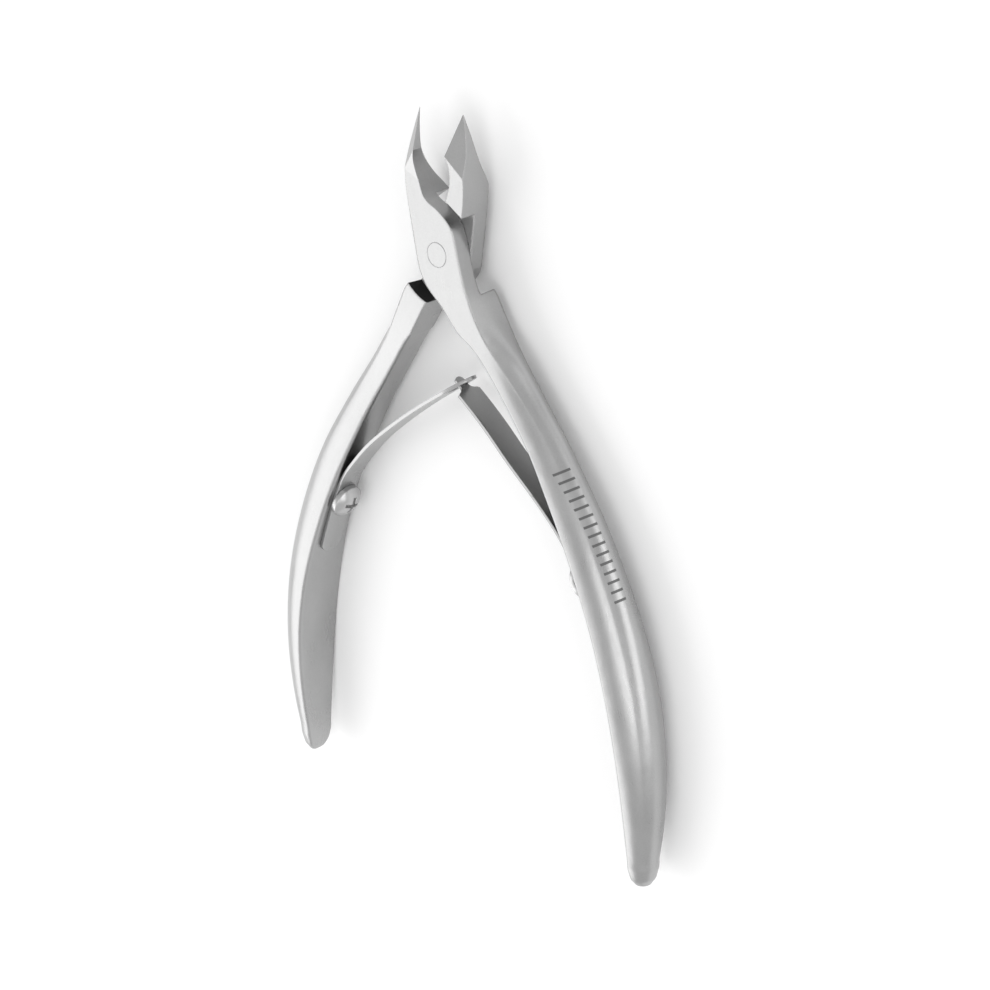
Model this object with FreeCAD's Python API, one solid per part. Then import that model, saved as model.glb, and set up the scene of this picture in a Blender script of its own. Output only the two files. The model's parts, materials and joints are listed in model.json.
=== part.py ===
import FreeCAD, Part
import math
import os

# Cuticle nipper with a lap joint, lying on its back. Millimetres.
# Origin: where the pivot axis meets the flat rear face of the joint. +Z runs along the pivot axis
# to the front face, +Y points to the jaws, +X to the right. The stored pose is the relaxed, open one.
# Each lever is drawn in its closed position, jaws meeting on X = 0, and then swung open about Z.

V = FreeCAD.Vector

# ---- driving dimensions ----------------------------------------------------------------------
OPEN_HALF_ANGLE = 11.42      # each lever stands this far from closed, degrees
JOINT_THICKNESS = 5.8        # front face to rear face of the joint
LAP = JOINT_THICKNESS / 2    # height of the plane where the two lever halves slide on each other
JAW_TIP = 22.75              # pivot axis to the jaw points
EDGE_HEEL = 16.65            # pivot axis to the inner end of the cutting edge
EDGE_GAP = 0.01              # each cutting edge stops this far short of the closing plane
LAP_GAP = 0.04               # between the sliding faces of the two levers
SHOULDER_RADIUS = 8.7        # hollow shoulder that the other lever's boss turns inside
RIVET_SHANK = 1.6            # radius
RIVET_HEAD = 2.0             # radius of both flush, countersunk rivet heads
RIVET_HEAD_DEPTH = 0.5
RUNNING_CLEARANCE = 0.03     # radial, between the rivet and the front lever
LEAF = 0.55                  # thickness of a leaf spring
LEAF_HALF_WIDTH = 2.35
LEAF_LEAVES_Y = -49.8        # where a leaf leaves its handle, in the closed position
FOOT_END_Y = -64.2
SCREW_Y = -52.8
SCREW_SHANK = 1.1            # radius
SCREW_DEPTH = 2.9            # of the blind hole under the leaf
SCREW_HEAD = 2.95            # radius
SCREW_RIM = 0.85             # height of the straight rim under the dome
SCREW_HEAD_HEIGHT = 2.2
FLEX_POINT = (14.93, -46.0)  # where a leaf is taken to bend, on its middle line, closed position
SPLIT_GAP = 0.08             # cut across the leaf there, between its foot and its moving blade
RECESS = (3.1, 0.7, 0.9)    # one bar of a screw's cross recess: length, width, depth
RECESS_TURNS = (25, 115)

FRONT = LAP                  # heights inside this script are measured from the lap plane
REAR = -LAP
FAR = 40.0                   # larger than any cut needs
CUT_HEIGHT = 10.0            # above and below the lap plane, clear of the handles
CUT_LEFT = -12.0             # X of the far side of a cut, clear of the lever


def spline(points):
    curve = Part.BSplineCurve()
    curve.interpolate([V(x, y, 0) for x, y in points])
    return curve


def prism(edges, low, high):
    """Solid over a closed outline of edges, between two heights."""
    face = Part.Face(Part.Wire(Part.__sortEdges__(edges)))
    face.translate(V(0, 0, low))
    return face.extrude(V(0, 0, high - low))


def closed_polygon(corners):
    return [Part.LineSegment(a, b).toShape() for a, b in zip(corners, corners[1:] + corners[:1])]


def above_plane(a, b, c):
    """Large box on the +Z side of the plane through three points."""
    normal = (b - a).cross(c - a)
    if normal.z < 0:
        normal = -normal
    box = Part.makeBox(2 * FAR, 2 * FAR, FAR, V(-FAR, -FAR, 0))
    box.Placement = FreeCAD.Placement(a, FreeCAD.Rotation(V(0, 0, 1), normal))
    return box


# ---- handle ----------------------------------------------------------------------------------
# One row per station: inner point x, y | tilt of the section, degrees | half width |
# depth to the arris on the boss side | depth to the arris on the shoulder side |
# depth of the rounded section | how far the section has turned from squared to rounded |
# height of the middle of the section above the lap plane
STATIONS = [
    (-6.0, -4.5, 0, 2.90, 10.50, 10.50, 10.5, 0.0, 0),
    (-5.0, -6.6, 2, 2.90, 9.70, 9.95, 9.8, 0.0, 0),
    (-2.3, -9.6, 14, 2.89, 7.45, 8.20, 7.9, 0.0, 0),
    (0.4, -12.2, 22, 2.86, 5.40, 6.50, 6.1, 0.0, 0),
    (2.75, -14.4, 24, 2.82, 3.80, 4.90, 4.85, 0.0, -0.05),
    (5.55, -18.9, 24, 2.77, 3.00, 3.65, 4.95, 0.12, -0.3),
    (7.5, -23.4, 23, 2.75, 2.95, 3.55, 5.20, 0.42, -0.5),
    (9.45, -28.0, 22, 2.78, 3.10, 3.65, 5.40, 0.75, -0.55),
    (11.3, -32.6, 21, 2.88, 3.50, 3.80, 5.75, 0.95, -0.5),
    (12.95, -37.4, 19, 3.07, 4.00, 4.00, 6.15, 1.0, -0.35),
    (15.1, -44.0, 17, 3.35, 4.00, 4.00, 6.65, 1.0, -0.15),
    (17.22, -52.0, 14, 3.70, 4.00, 4.00, 6.90, 1.0, 0),
    (18.8, -60.0, 10, 4.05, 4.00, 4.00, 6.95, 1.0, 0),
    (19.73, -67.5, 5, 4.42, 4.00, 4.00, 6.80, 1.0, 0),
    (20.05, -75.0, 0, 4.58, 4.00, 4.00, 6.45, 1.0, 0),
    (19.75, -82.5, -5, 4.45, 4.00, 4.00, 5.90, 1.0, 0),
    (18.85, -90.0, -9, 3.95, 3.80, 3.80, 5.25, 1.0, 0),
    (18.0, -95.0, -10.5, 3.48, 3.50, 3.50, 4.62, 1.0, 0),
    (17.08, -99.6, -11.5, 2.92, 2.90, 2.90, 3.90, 1.0, 0),
]
SECTION_STEP = 2.4           # spacing of the lofted sections, which are interpolated between stations
NOSE_LENGTH = 5.2            # rounded end of the handle beyond the last station
NOSE_STEPS = 7
NOSE_TURN = 84               # degrees of the quarter turn that the nose sections cover
NOSE_BLUNTNESS = 0.8         # 1 would be an elliptical nose, less is blunter
NOSE_CENTRE = 0.3            # the nose shrinks about this share of the depth
INNER_CORNER = 0.45          # radius where the flat inner face turns into the rounded back
ELLIPSE_HANDLE = 0.2652      # Bezier handle length of an eighth of an ellipse
CORNER_POLE = 0.45           # distance of a corner's inner Bezier poles, as a share of its radius
WALL_HIGH_POLE = 0.7         # heights of the squared back's Bezier poles, as shares of the half width
WALL_LOW_POLE = 0.35


def bezier(poles):
    curve = Part.BezierCurve()
    curve.setPoles(poles)
    return curve.toBSpline().toShape()


def mix(a, b, share):
    return a + (b - a) * share


def back_quarter(half_width, arris, depth, roundness, corner, lean):
    """Poles (depth, height) of the two Bezier spans from the inner corner to the apex of the back."""
    root = math.sqrt(0.5)
    reach = depth - corner
    k = ELLIPSE_HANDLE
    squared = [
        (corner, half_width),
        (mix(corner, arris, 1 / 3), half_width),
        (mix(corner, arris, 2 / 3), half_width),
        (arris, half_width),
        ((arris + depth) / 2, half_width * WALL_HIGH_POLE),
        (depth - lean * half_width * WALL_LOW_POLE, half_width * WALL_LOW_POLE),
        (depth, 0),
    ]
    rounded = [
        (corner, half_width),
        (corner + k * reach, half_width),
        (corner + root * reach * (1 - k), root * half_width * (1 + k)),
        (corner + root * reach, root * half_width),
        (corner + root * reach * (1 + k), root * half_width * (1 - k)),
        (depth, k * half_width),
        (depth, 0),
    ]
    return [
        (mix(s[0], r[0], roundness), mix(s[1], r[1], roundness)) for s, r in zip(squared, rounded)
    ]


def handle_section(x, y, tilt, half_width, boss_arris, shoulder_arris, depth, roundness, height, boss_up):
    """Closed wire: flat inner face, two small corners and the back, in the plane across the handle."""
    angle = math.radians(tilt)
    out = V(math.cos(angle), math.sin(angle), 0)
    origin = V(x, y, height)
    corner = min(INNER_CORNER, half_width / 3, depth / 4)
    upper_arris, lower_arris = (boss_arris, shoulder_arris) if boss_up else (shoulder_arris, boss_arris)
    lean = (lower_arris - upper_arris) / (2 * half_width)
    upper = back_quarter(half_width, upper_arris, depth, roundness, corner, lean)
    lower = back_quarter(half_width, lower_arris, depth, roundness, corner, -lean)

    def place(u, z):
        return origin + out * u + V(0, 0, z)

    def corner_span(sign):
        near = corner * CORNER_POLE
        return [
            place(0, sign * (half_width - corner)),
            place(0, sign * (half_width - near)),
            place(near, sign * half_width),
            place(corner, sign * half_width),
        ]

    top = [place(u, z) for u, z in upper]
    bottom = [place(u, -z) for u, z in lower]
    low_corner = corner_span(-1)
    high_corner = corner_span(1)
    edges = [
        Part.LineSegment(low_corner[0], high_corner[0]).toShape(),
        bezier(high_corner),
        bezier(top[0:4]),
        bezier(top[3:7]),
        bezier(bottom[3:7][::-1]),
        bezier(bottom[0:4][::-1]),
        bezier(low_corner[::-1]),
    ]
    return Part.Wire(edges)


def station_curve(first_column):
    """Smooth run of three columns of the station table, against -y."""
    curve = Part.BSplineCurve()
    points = [V(*row[first_column:first_column + 3]) for row in STATIONS]
    curve.interpolate(Points=points, Parameters=[-row[1] for row in STATIONS])
    return curve


def body_rows():
    """Sections along the handle, closer together than the stations."""
    start, end = -STATIONS[0][1], -STATIONS[-1][1]
    count = round((end - start) / SECTION_STEP)
    place = station_curve(0)
    size = station_curve(3)
    back = station_curve(6)
    rows = []
    for index in range(count + 1):
        at = mix(start, end, index / count)
        x, y, tilt = place.value(at)
        half_width, boss, shoulder = size.value(at)
        depth, roundness, height = back.value(at)
        rows.append((x, y, tilt, half_width, boss, shoulder, depth, min(max(roundness, 0), 1), height))
    return rows


def nose_rows():
    """Shrinking sections that round off the end of the handle."""
    x, y, tilt, half_width, boss, shoulder, depth, roundness, height = STATIONS[-1]
    angle = math.radians(tilt)
    along = V(math.sin(angle), -math.cos(angle), 0)
    out = V(math.cos(angle), math.sin(angle), 0)
    rows = []
    for step in range(1, NOSE_STEPS + 1):
        turn = math.radians(NOSE_TURN) * step / NOSE_STEPS
        size = math.cos(turn) ** NOSE_BLUNTNESS
        inset = NOSE_CENTRE * depth * (1 - size)
        centre = V(x, y, 0) + along * (NOSE_LENGTH * math.sin(turn)) + out * inset
        rows.append((centre.x, centre.y, tilt, half_width * size, boss * size, shoulder * size,
                     depth * size, roundness, height))
    return rows


def handle(boss_up):
    wires = [handle_section(*row, boss_up) for row in body_rows() + nose_rows()]
    return Part.makeLoft(wires, True, False)


def inner_point(y):
    """Point of the handle's flat inner face at a given y, and the direction into the handle there."""
    line = station_curve(0)
    along = line.tangent(-y)[0]
    return V(line.value(-y).x, y, 0), V(-along.y, along.x, 0).normalize()


# ---- joint and jaw ---------------------------------------------------------------------------
SEAM_Y = STATIONS[0][1]
SEAM_X = STATIONS[0][0] + STATIONS[0][4]
BOSS_SIDE_X = -4.46
BLANK_EXTRA = 1.2            # the jaw is ground from a blank that stands this far above the front face
THROAT = [  # right-hand side of the boss, the throat under the jaws and the hollow behind the edge
    (SEAM_X, SEAM_Y), (4.38, -1.5), (4.34, 1.6), (4.1, 3.9), (3.2, 5.5), (1.45, 7.35),
    (-0.35, 8.95), (-0.85, 11.0), (-1.0, 13.0), (-0.72, 15.2), (-EDGE_GAP, EDGE_HEEL),
]
JAW_BACK = [  # outer side of the jaw, from the point down
    (-0.05, JAW_TIP), (-1.1, 20.7), (-2.1, 18.5), (-2.85, 16.4), (-3.35, 14.1), (-3.8, 12.0),
    (-4.05, 9.8), (-4.2, 7.0), (-4.33, 3.4), (BOSS_SIDE_X, -0.2),
]
BOSS_CORNER = [  # lower left of the boss, running into the handle's inner face
    (BOSS_SIDE_X, -1.2), (-4.38, -2.4), (-4.05, -3.6), (-3.3, -5.3), (-1.85, -7.3),
    (-0.95, -8.6), (0.95, -12.05), (3.42, -15.3), (5.4, -18.6),
]
REAR_BOSS_CORNER = [  # the same on the rear lever, ground back flush with its shoulder's inner side
    (BOSS_SIDE_X, -1.2), (-4.38, -2.3), (-4.0, -3.4), (-3.1, -5.0), (-1.6, -6.9),
    (0.8, -8.3), (1.55, -9.7), (3.25, -14.0), (5.4, -18.6),
]
SHOULDER_INNER = [(0.6, -8.0), (1.35, -9.5), (3.3, -14.0), (5.4, -18.6)]
CHIN = [(9.0, -4.0), (9.0, 9.6), (0.3, 9.6), (-4.6, 7.5), (-9.0, 5.45), (-9.0, -4.0)]
TIP_POINT = V(0, JAW_TIP, 0.6)
HEEL_POINT = V(0, EDGE_HEEL, 3.75)
BEVEL_CORNER = V(-3.32, 14.0, 2.95)
FACET_START = V(-0.95, 11.8, FRONT)
# back of the jaw, seen from the side: y, height | along the inner side, then along the outer side
RELIEF_INNER = [(8.6, -3.5), (9.8, -2.65), (11.5, -0.9), (13.3, 0.5), (14.7, 1.2), (16.5, 1.5),
                (18.5, 1.3), (21.0, 0.7), (JAW_TIP + 0.6, 0.0)]
RELIEF_OUTER = [(9.0, -3.5), (9.8, -2.8), (11.2, -2.4), (12.7, -2.05), (14.2, -1.7), (16.4, -1.3),
                (18.5, -1.45), (20.9, -2.05), (JAW_TIP + 0.6, -2.4)]
RELIEF_INNER_X = -0.4
RELIEF_OUTER_X = -3.3
RELIEF_SPAN = (0.5, -4.8)    # the cut is carried on to these two values of X
RELIEF_LOW = -8.0            # below the rear face


def joint_block():
    """Boss and jaw at full thickness."""
    throat = spline(THROAT).toShape()
    back = spline(JAW_BACK).toShape()
    heel = V(-EDGE_GAP, EDGE_HEEL, 0)
    tip = V(-EDGE_GAP, JAW_TIP, 0)
    tip_back = V(JAW_BACK[0][0], JAW_TIP, 0)
    side_top = V(BOSS_SIDE_X, JAW_BACK[-1][1], 0)
    side_low = V(BOSS_SIDE_X, SEAM_Y, 0)
    seam = V(SEAM_X, SEAM_Y, 0)
    edges = [throat, Part.LineSegment(heel, tip).toShape(), Part.LineSegment(tip, tip_back).toShape(),
             back, Part.LineSegment(side_top, side_low).toShape(),
             Part.LineSegment(side_low, seam).toShape()]
    return prism(edges, REAR, FRONT + BLANK_EXTRA)


def relief_wire(points, x):
    """Side profile of the back of the jaw at one x, closed below."""
    curve = Part.BSplineCurve()
    corners = [V(x, y, z) for y, z in points]
    curve.interpolate(corners)
    low_end = V(x, corners[-1].y, RELIEF_LOW)
    low_start = V(x, corners[0].y, RELIEF_LOW)
    return Part.Wire([
        curve.toShape(),
        Part.LineSegment(corners[-1], low_end).toShape(),
        Part.LineSegment(low_end, low_start).toShape(),
        Part.LineSegment(low_start, corners[0]).toShape(),
    ])


def relief_cutter():
    """Everything behind the back of the jaw: a ruled body through the inner and outer profiles."""
    wires = []
    for x in RELIEF_SPAN:
        share = (x - RELIEF_INNER_X) / (RELIEF_OUTER_X - RELIEF_INNER_X)
        profile = [(mix(a[0], b[0], share), mix(a[1], b[1], share))
                   for a, b in zip(RELIEF_INNER, RELIEF_OUTER)]
        wires.append(relief_wire(profile, x))
    return Part.makeLoft(wires, True, True)


def jaw_cuts(block):
    top = Part.makeBox(2 * FAR, 2 * FAR, FAR, V(-FAR, -FAR, FRONT))
    front = top.common(above_plane(HEEL_POINT, BEVEL_CORNER, FACET_START))
    bevel = above_plane(TIP_POINT, HEEL_POINT, BEVEL_CORNER)
    return block.cut(front).cut(bevel).cut(relief_cutter())


def left_of(points, low, high):
    """Solid to the left of a free curve."""
    start, end = V(*points[0], 0), V(*points[-1], 0)
    corners = [end, V(CUT_LEFT, end.y, 0), V(CUT_LEFT, start.y, 0), start]
    edges = [spline(points).toShape()]
    edges += [Part.LineSegment(a, b).toShape() for a, b in zip(corners, corners[1:])]
    return prism(edges, low, high)


def lever(boss_up):
    """Lever with its jaw on the left and its handle on the right, in the closed position."""
    body = jaw_cuts(joint_block()).fuse(handle(boss_up))
    corner = BOSS_CORNER if boss_up else REAR_BOSS_CORNER
    body = body.cut(left_of(corner, -CUT_HEIGHT, CUT_HEIGHT))
    low, high = (-CUT_HEIGHT, LAP_GAP / 2) if boss_up else (-LAP_GAP / 2, CUT_HEIGHT)
    if boss_up:
        body = body.cut(left_of(SHOULDER_INNER, low, high))
    under_chin = prism(closed_polygon([V(x, y, 0) for x, y in CHIN]), low, high)
    hollow = Part.makeCylinder(SHOULDER_RADIUS, high - low, V(0, 0, low))
    return body.cut(under_chin.fuse(hollow))


def head_cone(level, direction, extra):
    """Countersink, or the rivet head that fills it, with its wide end on a face of the joint."""
    depth = RIVET_HEAD_DEPTH
    return Part.makeCone(RIVET_HEAD + extra, RIVET_SHANK + extra, depth, V(0, 0, level), V(0, 0, direction))


def rivet_hole(level, direction, extra):
    bore = Part.makeCylinder(RIVET_SHANK + extra, 4 * LAP, V(0, 0, -2 * LAP))
    return bore.fuse(head_cone(level, direction, extra))


def pivot_rivet():
    shank = Part.makeCylinder(RIVET_SHANK, JOINT_THICKNESS, V(0, 0, REAR))
    return shank.fuse([head_cone(FRONT, -1, 0), head_cone(REAR, 1, 0)]).removeSplitter()


# ---- springs and screws ----------------------------------------------------------------------
# The free part of a leaf's middle line in the closed position, from the handle to its end.
TONGUE_LINE = [(15.3, -46.8), (13.45, -43.4), (11.2, -40.0), (8.75, -36.7), (5.85, -32.8),
               (3.1, -28.75), (0.7, -25.6), (-1.6, -22.85), (-4.6, -19.6)]
SLOTTED_LINE = [(15.3, -46.8), (13.45, -43.4), (11.1, -39.6), (7.5, -34.95), (2.85, -29.65),
                (-1.1, -25.55), (-4.7, -22.0), (-9.7, -17.3)]
# Ends of the leaves: distance beyond the anchor, half width. The anchor is a point of the middle line.
TONGUE_ANCHOR = (-1.42, -23.05)
TONGUE_OUTLINE = [(0, 2.4), (0.35, 2.1), (0.65, 1.35), (1.05, 0.92), (1.6, 0.82), (2.4, 0.85),
                  (3.0, 0.66), (3.3, 0)]
SLOTTED_ANCHOR = (-2.7, -23.95)
SLOTTED_OUTLINE = [(0, 2.4), (2.0, 2.3), (4.4, 1.9), (6.2, 1.4), (7.2, 0.85), (7.6, 0)]
SLOT = (1.1, 5.0, 1.05)      # near end, far end, half width
FOOT_OUTLINE = [(0, 2.4), (0.9, 2.2), (1.68, 1.68), (2.2, 0.9), (2.4, 0)]
FOOT_LIFT = 0.03             # gap between a leaf and the handle face it lies on
SCREW_LIFT = 0.05            # gap between a leaf and the head of its screw
SCREW_HOLE_GAP = 0.05        # radial, between a screw and the hole in its leaf
BITE = 0.1                   # how far a screw's shank reaches into its head
LINE_SAMPLES = 3             # samples of a middle line per given point
FOOT_STEPS = 5
UP = V(0, 0, 1)


def strip(points, half_width):
    """A leaf of even thickness along a middle line."""
    curve = spline(points)
    first, last = curve.FirstParameter, curve.LastParameter
    count = LINE_SAMPLES * len(points)
    sides = {1: [], -1: []}
    for index in range(count + 1):
        at = mix(first, last, index / count)
        along = curve.tangent(at)[0]
        normal = V(-along.y, along.x, 0)
        for side in sides:
            place = curve.value(at) + normal * (side * LEAF / 2)
            sides[side].append((place.x, place.y))
    edges = [spline(sides[1]).toShape(), spline(sides[-1]).toShape()]
    for end in (0, -1):
        edges.append(Part.LineSegment(V(*sides[1][end], 0), V(*sides[-1][end], 0)).toShape())
    return prism(edges, -half_width, half_width)


def slab(edges, normal):
    """Thick plate over a closed outline, reaching far to both sides of its plane."""
    face = Part.Face(Part.Wire(Part.__sortEdges__(edges)))
    face.translate(normal * -FAR)
    return face.extrude(normal * (2 * FAR))


def trim_end(leaf, anchor, direction, outline):
    """Cut a leaf's end to an outline of (distance beyond the anchor, half width), mirrored."""
    mirrored = outline + [(distance, -width) for distance, width in outline[-2::-1]]
    nose = [anchor + direction * distance + UP * height for distance, height in mirrored]
    curve = Part.BSplineCurve()
    curve.interpolate(nose)
    far = direction * -2 * FAR
    corners = [nose[-1], nose[-1] + far, nose[0] + far, nose[0]]
    edges = [curve.toShape()]
    edges += [Part.LineSegment(a, b).toShape() for a, b in zip(corners, corners[1:])]
    return leaf.common(slab(edges, direction.cross(UP)))


def heading(a, b):
    """Unit direction from one (x, y) point to another."""
    return V(b[0] - a[0], b[1] - a[1], 0).normalize()


def foot_points():
    """Middle line of a leaf where it lies along the handle, from its lower end upwards."""
    points = []
    for index in range(FOOT_STEPS + 1):
        place, into = inner_point(mix(FOOT_END_Y, LEAF_LEAVES_Y, index / FOOT_STEPS))
        place = place - into * (FOOT_LIFT + LEAF / 2)
        points.append((place.x, place.y))
    return points


def leaf(line, anchor, outline):
    """A whole spring leaf: foot along the handle, screw hole, free part and shaped end."""
    foot = foot_points()
    whole = strip(foot + line, LEAF_HALF_WIDTH)
    whole = trim_end(whole, V(*anchor, 0), heading(line[-2], line[-1]), outline)
    foot_direction = heading(foot[1], foot[0])
    foot_anchor = V(*foot[0], 0) - foot_direction * FOOT_OUTLINE[-1][0]
    whole = trim_end(whole, foot_anchor, foot_direction, FOOT_OUTLINE)
    place, into = inner_point(SCREW_Y)
    return whole.cut(Part.makeCylinder(SCREW_SHANK + SCREW_HOLE_GAP, FAR, place + into * LEAF, -into))


def tongue_leaf():
    return leaf(TONGUE_LINE, TONGUE_ANCHOR, TONGUE_OUTLINE)


def slotted_leaf():
    direction = heading(SLOTTED_LINE[-2], SLOTTED_LINE[-1])
    near, far, half = SLOT
    anchor = V(*SLOTTED_ANCHOR, 0)
    corners = [anchor + direction * distance + UP * height
               for distance, height in ((near, -half), (far, -half), (far, half), (near, half))]
    window = slab(closed_polygon(corners), direction.cross(UP))
    return leaf(SLOTTED_LINE, SLOTTED_ANCHOR, SLOTTED_OUTLINE).cut(window)


def split(whole):
    """The clamped foot and the moving blade of a leaf, cut apart across the flex line."""
    along = heading(TONGUE_LINE[0], TONGUE_LINE[1])
    beyond = Part.makeBox(2 * FAR, 2 * FAR, 2 * FAR, V(-FAR, -FAR, 0))
    halves = []
    for side in (-1, 1):
        start = V(*FLEX_POINT, 0) + along * (side * SPLIT_GAP / 2)
        space = beyond.copy()
        space.Placement = FreeCAD.Placement(start, FreeCAD.Rotation(UP, along * side))
        halves.append(whole.common(space))
    return halves


def screw_axis():
    """Seat of the spring screw on the handle's face, and the direction out of the handle."""
    place, into = inner_point(SCREW_Y)
    return place, -into


def screw_hole():
    place, out = screw_axis()
    return Part.makeCylinder(SCREW_SHANK, FAR, place - out * SCREW_DEPTH, out)


def spring_screw():
    """Domed cross-recess screw through the foot into the handle's blind hole."""
    place, out = screw_axis()
    seat_height = FOOT_LIFT + LEAF + SCREW_LIFT
    seat = place + out * seat_height
    dome = SCREW_HEAD_HEIGHT - SCREW_RIM
    radius = (SCREW_HEAD ** 2 + dome ** 2) / (2 * dome)
    ball = Part.makeSphere(radius, seat + out * (SCREW_HEAD_HEIGHT - radius))
    rim = Part.makeCylinder(SCREW_HEAD, FAR, seat, out)
    shank_length = SCREW_DEPTH + seat_height + BITE
    shank = Part.makeCylinder(SCREW_SHANK, shank_length, place - out * SCREW_DEPTH, out)
    screw = ball.common(rim).fuse(shank)
    for turn in RECESS_TURNS:
        length, width, depth = RECESS
        bar = Part.makeBox(length, width, FAR, V(-length / 2, -width / 2, 0))
        bar.rotate(V(0, 0, 0), V(0, 0, 1), turn)
        bar.Placement = FreeCAD.Placement(seat + out * (SCREW_HEAD_HEIGHT - depth),
                                          FreeCAD.Rotation(UP, out)).multiply(bar.Placement)
        screw = screw.cut(bar)
    return screw


# ---- assembly --------------------------------------------------------------------------------
def front_side(shape):
    """Swing a piece drawn for the front lever open, and lift it onto the rear face."""
    shape = shape.copy()
    shape.rotate(V(0, 0, 0), V(0, 0, 1), OPEN_HALF_ANGLE)
    shape.translate(V(0, 0, LAP))
    return shape


def rear_side(shape):
    """The same for a piece of the rear lever, which is drawn mirrored left to right."""
    shape = shape.mirror(V(0, 0, 0), V(1, 0, 0))
    shape.rotate(V(0, 0, 0), V(0, 0, 1), -OPEN_HALF_ANGLE)
    shape.translate(V(0, 0, LAP))
    return shape


def pieces():
    tongue_foot, tongue_blade = split(tongue_leaf())
    slotted_foot, slotted_blade = split(slotted_leaf())
    front = lever(True).cut(rivet_hole(FRONT, -1, RUNNING_CLEARANCE)).cut(screw_hole())
    rear = lever(False).cut(rivet_hole(REAR, 1, 0)).cut(screw_hole())
    rivet = pivot_rivet()
    rivet.translate(V(0, 0, LAP))
    return {
        "front_lever": front_side(front),
        "rear_lever": rear_side(rear),
        "pivot_rivet": rivet,
        "tongue_spring_foot": front_side(tongue_foot),
        "tongue_spring_blade": front_side(tongue_blade),
        "slotted_spring_foot": rear_side(slotted_foot),
        "slotted_spring_blade": rear_side(slotted_blade),
        "front_spring_screw": front_side(spring_screw()),
        "rear_spring_screw": rear_side(spring_screw()),
    }


os.makedirs("parts", exist_ok=True)
for name, shape in pieces().items():
    shape.exportStep("parts/" + name + ".step")
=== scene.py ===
import json
import math

import bmesh
import bpy
from mathutils import Matrix, Vector


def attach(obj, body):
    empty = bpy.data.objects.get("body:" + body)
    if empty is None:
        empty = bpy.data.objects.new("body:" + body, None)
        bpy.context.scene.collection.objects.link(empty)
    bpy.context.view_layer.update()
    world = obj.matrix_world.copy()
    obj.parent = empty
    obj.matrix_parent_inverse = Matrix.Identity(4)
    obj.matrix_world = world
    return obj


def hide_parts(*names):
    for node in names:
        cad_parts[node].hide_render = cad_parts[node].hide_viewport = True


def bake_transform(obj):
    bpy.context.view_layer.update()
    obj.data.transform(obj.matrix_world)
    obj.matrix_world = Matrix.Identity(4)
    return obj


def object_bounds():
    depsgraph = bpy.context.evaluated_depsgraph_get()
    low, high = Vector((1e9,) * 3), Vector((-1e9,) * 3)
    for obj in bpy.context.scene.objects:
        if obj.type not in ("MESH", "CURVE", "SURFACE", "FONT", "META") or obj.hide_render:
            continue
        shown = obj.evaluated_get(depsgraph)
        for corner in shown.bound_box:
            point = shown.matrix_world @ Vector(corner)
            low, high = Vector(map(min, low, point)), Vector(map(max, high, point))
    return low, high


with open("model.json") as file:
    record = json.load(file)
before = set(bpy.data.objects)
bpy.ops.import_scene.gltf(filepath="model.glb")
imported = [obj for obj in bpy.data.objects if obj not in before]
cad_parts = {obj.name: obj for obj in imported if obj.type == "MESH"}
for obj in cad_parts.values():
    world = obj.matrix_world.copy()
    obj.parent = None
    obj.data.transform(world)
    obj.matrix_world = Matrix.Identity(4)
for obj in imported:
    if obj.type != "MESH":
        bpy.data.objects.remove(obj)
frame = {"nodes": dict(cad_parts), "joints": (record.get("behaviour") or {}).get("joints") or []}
start_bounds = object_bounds()

# Satin steel cuticle nipper, relaxed open, on a white floor. The row frame: origin on the pivot axis
# at the rear face of the joint, +Z to the front face, +Y to the jaws, +X to the right.
MM = 0.001
LAP_HEIGHT = 2.9 * MM        # where the two levers slide on each other
OPEN_HALF_ANGLE = 11.42      # each handle stands this far from closed, degrees

# ---- camera ------------------------------------------------------------------------------------
# The direction to the camera and the picture's right and up directions.
TO_CAMERA = Vector((0.6317, 0.3770, 0.6774))
PICTURE_RIGHT = Vector((0.7398, -0.0317, -0.6722))
PICTURE_UP = Vector((-0.2320, 0.9258, -0.2988))
AIM_RIGHT = 7.08 * MM        # the aim point, from the pivot
AIM_DOWN = 38.1 * MM
CAMERA_DISTANCE = 406.3 * MM
FIELD_OF_VIEW = 21.49        # degrees
SENSOR_WIDTH = 36            # of the camera, in millimetres
CLIP_START = 10 * MM

# ---- lights and floor ----------------------------------------------------------------------------
AIM = Vector((0, -40, 0)) * MM
LIGHTS = {  # direction from the aim point | distance | size across and up | power in watts
    "side_softbox": ((-0.75, -0.42, 0.55), 0.75, (1.10, 0.60), 3.1),
    "overhead_strip": ((0.34, -0.19, 0.93), 0.80, (0.20, 0.60), 0.75),
    "right_softbox": ((0.90, 0.10, 0.35), 0.90, (0.90, 0.45), 1.8),
}
WORLD_STRENGTH = 0.76
FLOOR_HALF = 1.2             # half the width of the floor
FLOOR_GREY = 0.97
FLOOR_ROUGHNESS = 0.85
FLOOR_SHEEN = 0.1
FIBRE_SIZE = 0.8 * MM
FIBRE_HEIGHT = 0.02 * MM
FIBRE_STRENGTH = 0.1

# ---- shaping -------------------------------------------------------------------------------------
WELD = 0.002 * MM            # points closer than this become one
FLAT_ANGLE = 0.2             # faces closer than this are merged before edges are rounded, degrees
EDGE_ANGLE = 28              # sharper edges than this are rounded, degrees
EDGE_SEGMENTS = 2
LEAF_EDGE = 0.10 * MM
SCREW_EDGE = 0.09 * MM
POCKET_RADIUS = 8.7 * MM     # hollow of the rear lever's shoulder, whose walls are painted dark as shade
POCKET_MARGIN = 0.25 * MM
BEND_BEFORE = 3.4 * MM       # a leaf bends from this far before its flex point
BEND_AFTER = 9.0 * MM        # to this far after it
BEND_STEP = 0.6 * MM

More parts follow.
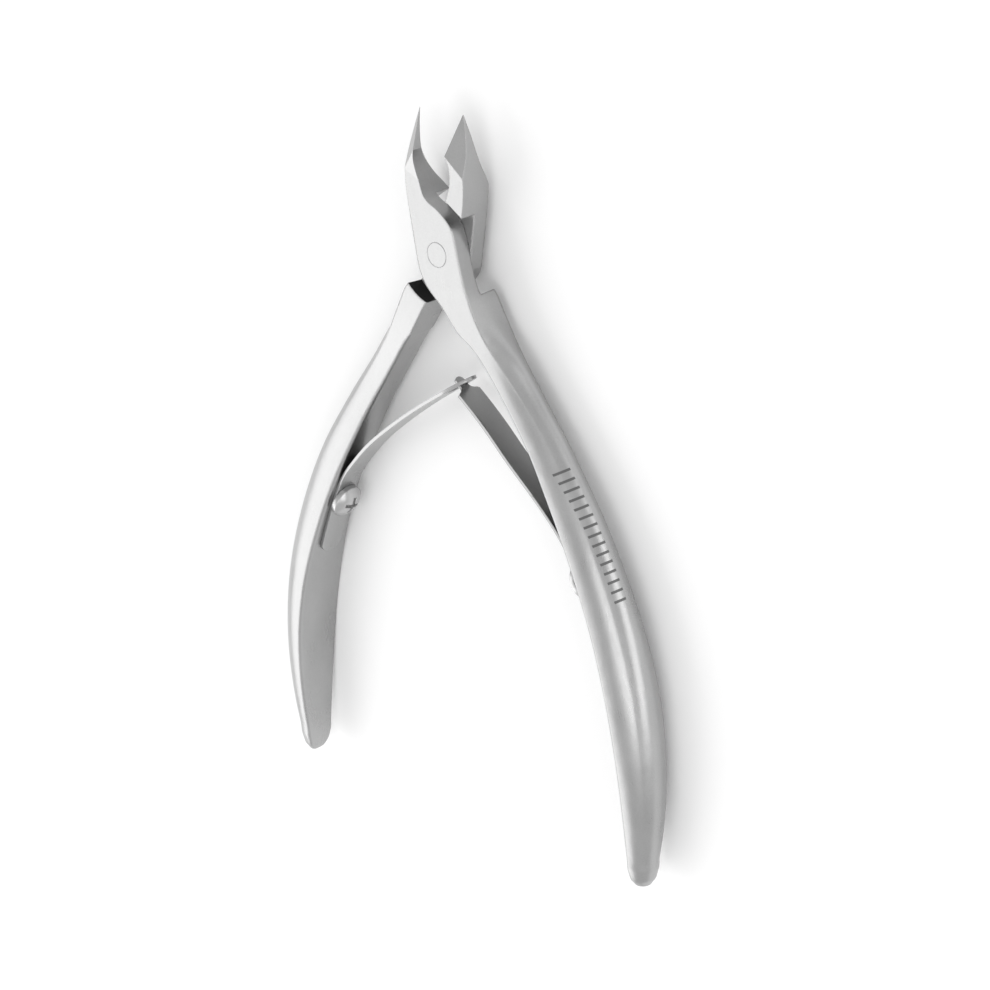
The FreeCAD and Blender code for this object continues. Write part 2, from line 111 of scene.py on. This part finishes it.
# ---- steel: grey level and roughness of each kind, and the size of its grain in X, Y and Z --------
LEVER_GREY = 0.42
RIVET_GREY = 0.42
SCREW_GREY = 0.50
# painted shade: the tongue leaf gets a darker grey than the slotted leaf, standing for the shade it lies in
TONGUE_SHADED_GREY = 0.31
SLOTTED_GREY = 0.42
# painted shade: near-black grey for the walls of the shoulder hollow, standing for the shade in the recess
# under the lap
POCKET_SHADE_GREY = 0.035
SATIN = 0.30                 # roughness of polished and brushed steel
TURNED = 0.32
UNPOLISHED = 0.45
LEVER_GRAIN = Vector((0.22, 4.0, 0.22)) * MM
LEAF_GRAIN = Vector((0.18, 0.18, 2.5)) * MM
EVEN_GRAIN = Vector((0.3, 0.3, 0.3)) * MM
CLOUD_SIZE = Vector((7.0, 12.6, 7.0)) * MM
SPECKLE_SIZE = Vector((0.16, 0.16, 0.16)) * MM
LIGHTER = 1.10               # the grey varies between these shares of its level
DARKER = 0.90
MIDDLE = (0.3, 0.7)          # range in which most noise values lie
GRAIN_ROUGHNESS = (-0.05, 0.07)  # lowest and highest change of the roughness by the grain
CLOUD_ROUGHNESS = (-0.04, 0.04)  # and by the clouding
WORN_ROUGHNESS = -0.08       # worn arrises are smoother
WORN_RANGE = (0.90, 0.995)   # cosines between the softened and the real normal: fully worn, not worn
WORN_CLOUDS = (0.35, 0.65)   # wear follows the clouding over this range of its values
WORN_SHARE = (0.3, 1.0)
GRAIN_HEIGHT = 0.012 * MM
GRAIN_STRENGTH = 0.35

# ---- softened arrises ----------------------------------------------------------------------------
BEVEL_SAMPLES = 4
SMALL_EDGE = 0.15 * MM       # how far polishing has softened an arris
CROWN = 0.5 * MM             # the same on the levers below the jaws
CROWN_START = 9.0 * MM       # Y where the crown begins
CROWN_FULL = 3.0 * MM        # Y where it has reached its full size
RIM_START = 3.2 * MM         # distance from the pivot axis where the crown ends round the rivet
RIM_FULL = 3.84 * MM

# ---- etched scale on the front lever's handle ------------------------------------------------------
SCALE_START = Vector((24.2, -30.6, 4.4)) * MM
SCALE_END = Vector((35.2, -50.9, 4.5)) * MM
SCALE_PITCH = 1.55 * MM
TICK_WIDTH = 0.42 * MM
TICK_LOW = 3.55 * MM
TICK_HIGH = 5.15 * MM
SCALE_REACH = 3.5 * MM       # only the outer side of the handle is marked
ETCH_SHARE = 0.75
ETCH_GREY = 0.07
ETCH_ROUGHNESS = 0.25        # added to the roughness of the steel round it


def add_camera():
    """The camera, turned so that the tool is seen from its front, right and upper side."""
    aim = PICTURE_RIGHT * AIM_RIGHT - PICTURE_UP * AIM_DOWN + Vector((0, 0, LAP_HEIGHT))
    data = bpy.data.cameras.new("camera")
    data.sensor_width = SENSOR_WIDTH
    data.lens = data.sensor_width / (2 * math.tan(math.radians(FIELD_OF_VIEW) / 2))
    data.clip_start = CLIP_START
    camera = bpy.data.objects.new("camera", data)
    turn = Matrix((PICTURE_RIGHT, PICTURE_UP, TO_CAMERA)).transposed().to_4x4()
    camera.matrix_world = Matrix.Translation(aim + TO_CAMERA * CAMERA_DISTANCE) @ turn
    bpy.context.collection.objects.link(camera)
    bpy.context.scene.camera = camera


# ---- materials -----------------------------------------------------------------------------------
def new_material(name):
    material = bpy.data.materials.new(name)
    material.use_nodes = True
    material.node_tree.nodes.clear()
    return material, material.node_tree


def add_node(tree, kind, inputs=None, **settings):
    """A node with its settings, and its inputs set or linked by name or number."""
    node = tree.nodes.new(kind)
    for name, value in settings.items():
        setattr(node, name, value)
    for name, value in (inputs or {}).items():
        if isinstance(value, bpy.types.NodeSocket):
            tree.links.new(value, node.inputs[name])
        else:
            node.inputs[name].default_value = value
    return node


def grey(level):
    return (level, level, level, 1)


def math_node(tree, operation, first, second=0.0):
    return add_node(tree, "ShaderNodeMath", {0: first, 1: second}, operation=operation).outputs[0]


def remap(tree, value, low, high, from_low=0.0, from_high=1.0):
    """The value carried from one range to another, and held at its ends."""
    inputs = {"Value": value, "From Min": from_low, "From Max": from_high, "To Min": low, "To Max": high}
    return add_node(tree, "ShaderNodeMapRange", inputs).outputs[0]


def mix_colour(tree, share, first, second):
    """The first colour at share 0, the second at share 1."""
    node = add_node(tree, "ShaderNodeMix", data_type="RGBA")
    for name, value in (("Factor_Float", share), ("A_Color", first), ("B_Color", second)):
        socket = next(item for item in node.inputs if item.identifier == name)
        if isinstance(value, bpy.types.NodeSocket):
            tree.links.new(value, socket)
        else:
            socket.default_value = value
    return next(item for item in node.outputs if item.identifier == "Result_Color")


def noise(tree, place, size, turn=0.0, detail=3.0):
    """Noise whose features are `size` long in X, Y and Z after a turn about Z."""
    inputs = {"Vector": place, "Rotation": (0, 0, math.radians(turn)), "Scale": size}
    mapping = add_node(tree, "ShaderNodeMapping", inputs, vector_type="TEXTURE")
    inputs = {"Vector": mapping.outputs[0], "Scale": 1.0, "Detail": detail}
    return add_node(tree, "ShaderNodeTexNoise", inputs).outputs[0]


def etched_scale(tree, place):
    """1 on a row of plain tick bars along the handle, 0 elsewhere."""
    run = SCALE_END - SCALE_START
    along = run.normalized()
    out = Vector((-along.y, along.x, 0))
    from_start = add_node(tree, "ShaderNodeVectorMath", {0: place, 1: SCALE_START}, operation="SUBTRACT")

    def distance(direction):
        inputs = {0: from_start.outputs[0], 1: direction}
        return add_node(tree, "ShaderNodeVectorMath", inputs, operation="DOT_PRODUCT").outputs["Value"]

    at = distance(along)
    tick = math_node(tree, "PINGPONG", at, SCALE_PITCH / 2)
    height = add_node(tree, "ShaderNodeSeparateXYZ", {0: place}).outputs[2]
    tests = [
        math_node(tree, "LESS_THAN", tick, TICK_WIDTH / 2),
        math_node(tree, "GREATER_THAN", at, -TICK_WIDTH),
        math_node(tree, "LESS_THAN", at, run.length - TICK_WIDTH),
        math_node(tree, "GREATER_THAN", height, TICK_LOW),
        math_node(tree, "LESS_THAN", height, TICK_HIGH),
        math_node(tree, "GREATER_THAN", distance(out), -SCALE_REACH),
    ]
    mask = tests[0]
    for test in tests[1:]:
        mask = math_node(tree, "MULTIPLY", mask, test)
    return mask


def lever_softness(tree, place):
    """How far the arrises are softened: little at the jaws and round the rivet, more elsewhere."""
    at = add_node(tree, "ShaderNodeSeparateXYZ", {0: place})
    below = remap(tree, at.outputs[1], 1.0, 0.0, CROWN_FULL, CROWN_START)
    flat = add_node(tree, "ShaderNodeCombineXYZ", {0: at.outputs[0], 1: at.outputs[1]}).outputs[0]
    reach = add_node(tree, "ShaderNodeVectorMath", {0: flat}, operation="LENGTH").outputs["Value"]
    outside = remap(tree, reach, 0.0, 1.0, RIM_START, RIM_FULL)
    return remap(tree, math_node(tree, "MULTIPLY", below, outside), SMALL_EDGE, CROWN)


def steel(name, level, roughness, grain, turn=0.0, crowned=False, etched=False):
    """Satin steel: fine grain along one direction, soft clouding, speckle and worn arrises."""
    material, tree = new_material(name)
    place = add_node(tree, "ShaderNodeTexCoord").outputs["Object"]
    brushing = noise(tree, place, grain, turn)
    clouds = noise(tree, place, CLOUD_SIZE, turn, detail=4.0)
    speckle = noise(tree, place, SPECKLE_SIZE, detail=2.0)

    radius = lever_softness(tree, place) if crowned else SMALL_EDGE
    soft = add_node(tree, "ShaderNodeBevel", {"Radius": radius}, samples=BEVEL_SAMPLES).outputs[0]
    surface = add_node(tree, "ShaderNodeNewGeometry").outputs["Normal"]
    turned = add_node(tree, "ShaderNodeVectorMath", {0: soft, 1: surface}, operation="DOT_PRODUCT")
    edge = remap(tree, turned.outputs["Value"], 1.0, 0.0, *WORN_RANGE)
    worn = math_node(tree, "MULTIPLY", edge, remap(tree, clouds, *WORN_SHARE, *WORN_CLOUDS))

    grained = remap(tree, brushing, *[roughness + change for change in GRAIN_ROUGHNESS])
    rough = math_node(tree, "ADD", grained, remap(tree, clouds, *CLOUD_ROUGHNESS, *MIDDLE))
    rough = math_node(tree, "ADD", rough, math_node(tree, "MULTIPLY", worn, WORN_ROUGHNESS))
    light = grey(level * LIGHTER)
    mottle = math_node(tree, "ADD", remap(tree, speckle, 0.0, 0.5), remap(tree, clouds, 0.0, 0.5))
    shade = mix_colour(tree, remap(tree, mottle, 0.0, 1.0, *MIDDLE), grey(level * DARKER), light)
    colour = mix_colour(tree, worn, shade, light)
    if etched:
        mark = etched_scale(tree, place)
        colour = mix_colour(tree, math_node(tree, "MULTIPLY", mark, ETCH_SHARE), colour, grey(ETCH_GREY))
        rough = math_node(tree, "ADD", rough, math_node(tree, "MULTIPLY", mark, ETCH_ROUGHNESS))
    bump = add_node(tree, "ShaderNodeBump", {"Height": brushing, "Strength": GRAIN_STRENGTH,
                                             "Distance": GRAIN_HEIGHT, "Normal": soft})
    shader = add_node(tree, "ShaderNodeBsdfPrincipled",
                      {"Base Color": colour, "Metallic": 1.0, "Roughness": rough,
                       "Normal": bump.outputs[0]})
    add_node(tree, "ShaderNodeOutputMaterial", {"Surface": shader.outputs[0]})
    return material


# ---- stage and light -----------------------------------------------------------------------------
def add_floor():
    """White paper under the lowest point of the tool."""
    low = start_bounds[0][2]
    mesh = bpy.data.meshes.new("floor")
    corners = [(x, y, low) for x, y in ((-1, -1), (1, -1), (1, 1), (-1, 1))]
    mesh.from_pydata([(x * FLOOR_HALF, y * FLOOR_HALF, z) for x, y, z in corners], [], [(0, 1, 2, 3)])
    floor = bpy.data.objects.new("floor", mesh)
    bpy.context.collection.objects.link(floor)
    material, tree = new_material("floor_paper")
    place = add_node(tree, "ShaderNodeTexCoord").outputs["Object"]
    fibres = noise(tree, place, [FIBRE_SIZE] * 3)
    bump = add_node(tree, "ShaderNodeBump",
                    {"Height": fibres, "Strength": FIBRE_STRENGTH, "Distance": FIBRE_HEIGHT})
    shader = add_node(tree, "ShaderNodeBsdfPrincipled",
                      {"Base Color": grey(FLOOR_GREY), "Roughness": FLOOR_ROUGHNESS,
                       "Specular IOR Level": FLOOR_SHEEN, "Normal": bump.outputs[0]})
    add_node(tree, "ShaderNodeOutputMaterial", {"Surface": shader.outputs[0]})
    mesh.materials.append(material)


def add_lights():
    """An even white surround and the softboxes, which face the aim point."""
    world = bpy.data.worlds.new("world")
    bpy.context.scene.world = world
    world.use_nodes = True
    background = world.node_tree.nodes["Background"]
    background.inputs["Color"].default_value = (1, 1, 1, 1)
    background.inputs["Strength"].default_value = WORLD_STRENGTH
    for name, (direction, distance, size, power) in LIGHTS.items():
        data = bpy.data.lights.new(name, "AREA")
        data.shape = "RECTANGLE"
        data.size, data.size_y = size
        data.energy = power
        light = bpy.data.objects.new(name, data)
        direction = Vector(direction).normalized()
        light.location = AIM + direction * distance
        light.rotation_euler = direction.to_track_quat("Z", "Y").to_euler()
        bpy.context.collection.objects.link(light)


# ---- pieces --------------------------------------------------------------------------------------
def welded(node):
    """The node's mesh as one closed skin, with its flat faces merged."""
    work = bmesh.new()
    work.from_mesh(frame["nodes"][node].data)
    bmesh.ops.remove_doubles(work, verts=work.verts, dist=WELD)
    bmesh.ops.dissolve_limit(work, angle_limit=math.radians(FLAT_ANGLE), verts=work.verts, edges=work.edges)
    return work


def link_piece(name, mesh, material):
    """A mesh put into the scene as a piece with one material."""
    mesh.materials.append(material)
    piece = bpy.data.objects.new(name, mesh)
    bpy.context.collection.objects.link(piece)
    return piece


def add_ground(name, node, body, material, painted_shade_material=None):
    """A piece with ground faces and crisp arrises, which keeps the exact surface normals of its CAD node.

    The near-black shade material goes on the walls of the hollow that the other lever's boss turns inside:
    painted shade in that recess.
    """
    mesh = frame["nodes"][node].data.copy()
    mesh.materials.clear()
    piece = link_piece(name, mesh, material)
    if painted_shade_material:
        mesh.materials.append(painted_shade_material)
        for face in mesh.polygons:
            reach = math.hypot(face.center.x, face.center.y)
            upright = abs(face.normal.z) < 0.5
            if abs(reach - POCKET_RADIUS) < POCKET_MARGIN and upright and face.center.y < 0:
                face.material_index = 1
    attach(piece, body)
    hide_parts(node)


def add_rounded(name, work, edge, material):
    """A piece from a finished bmesh, with its sharp edges rounded."""
    mesh = bpy.data.meshes.new(name)
    work.to_mesh(mesh)
    work.free()
    mesh.shade_smooth()
    piece = link_piece(name, mesh, material)
    bevel = piece.modifiers.new("rounded_edges", "BEVEL")
    bevel.width = edge
    bevel.segments = EDGE_SEGMENTS
    bevel.limit_method = "ANGLE"
    bevel.angle_limit = math.radians(EDGE_ANGLE)
    weighted = piece.modifiers.new("face_normals", "WEIGHTED_NORMAL")
    weighted.mode = "FACE_AREA"
    return piece


def add_screw(name, node, body, material):
    screw = add_rounded(name, welded(node), SCREW_EDGE, material)
    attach(screw, body)
    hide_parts(node)


def whole_leaf(foot_node, blade_node, flex):
    """Foot and blade joined across the cut at the flex point, with rings to bend by.

    Also gives the direction of the leaf at the flex point.
    """
    halves = [welded(foot_node), welded(blade_node)]
    ends = [min(half.faces, key=lambda face: (face.calc_center_median() - flex).length) for half in halves]
    along = ends[0].normal.copy()
    for half, end in zip(halves, ends):
        bmesh.ops.delete(half, geom=[end], context="FACES_ONLY")
    joined = halves[0]
    carrier = bpy.data.meshes.new("carrier")
    halves[1].to_mesh(carrier)
    halves[1].free()
    joined.from_mesh(carrier)
    bpy.data.meshes.remove(carrier)
    bmesh.ops.bridge_loops(joined, edges=[edge for edge in joined.edges if edge.is_boundary])
    offset = -BEND_BEFORE
    while offset < BEND_AFTER:
        geometry = joined.verts[:] + joined.edges[:] + joined.faces[:]
        bmesh.ops.bisect_plane(joined, geom=geometry, plane_co=flex + along * offset, plane_no=along)
        offset += BEND_STEP
    bmesh.ops.recalc_face_normals(joined, faces=joined.faces)
    return joined, along


def add_leaf(name, spring_body, foot_node, blade_node, material):
    """A whole leaf between its lever and its spring body, made in one piece with rings round its flex point
    and baked where it stands.
    """
    joint = next(item for item in frame["joints"] if item["child"] == spring_body)
    flex = Vector(joint["pos_m"])
    work, along = whole_leaf(foot_node, blade_node, flex)
    leaf = add_rounded(name, work, LEAF_EDGE, material)
    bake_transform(leaf)
    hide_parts(foot_node, blade_node)


add_camera()
add_floor()
add_lights()
bpy.context.scene.view_settings.view_transform = "Standard"  # keeps the white floor white

front_steel = steel("front_lever_steel", LEVER_GREY, SATIN, LEVER_GRAIN, OPEN_HALF_ANGLE,
                    crowned=True, etched=True)
rear_steel = steel("rear_lever_steel", LEVER_GREY, SATIN, LEVER_GRAIN, -OPEN_HALF_ANGLE, crowned=True)
# painted shade: near-black steel on the walls of the shoulder hollow
pocket_shade_steel = steel("pocket_painted_shade", POCKET_SHADE_GREY, UNPOLISHED, EVEN_GRAIN)
# the tongue leaf's darker grey is painted shade
tongue_shaded_steel = steel("tongue_leaf_shaded_steel", TONGUE_SHADED_GREY, SATIN, LEAF_GRAIN)
slotted_steel = steel("slotted_leaf_steel", SLOTTED_GREY, SATIN, LEAF_GRAIN)
screw_steel = steel("screw_steel", SCREW_GREY, TURNED, EVEN_GRAIN)
rivet_steel = steel("rivet_steel", RIVET_GREY, SATIN, EVEN_GRAIN)

add_ground("front_lever_forging", "front_lever", "front_side", front_steel)
add_ground("rear_lever_forging", "rear_lever", "rear_side", rear_steel, pocket_shade_steel)
add_ground("rivet_finished", "pivot_rivet", "rear_side", rivet_steel)
add_screw("front_screw_finished", "front_spring_screw", "front_side", screw_steel)
add_screw("rear_screw_finished", "rear_spring_screw", "rear_side", screw_steel)
add_leaf("tongue_spring_leaf", "tongue_spring", "tongue_spring_foot",
         "tongue_spring_blade", tongue_shaded_steel)
add_leaf("slotted_spring_leaf", "slotted_spring", "slotted_spring_foot",
         "slotted_spring_blade", slotted_steel)
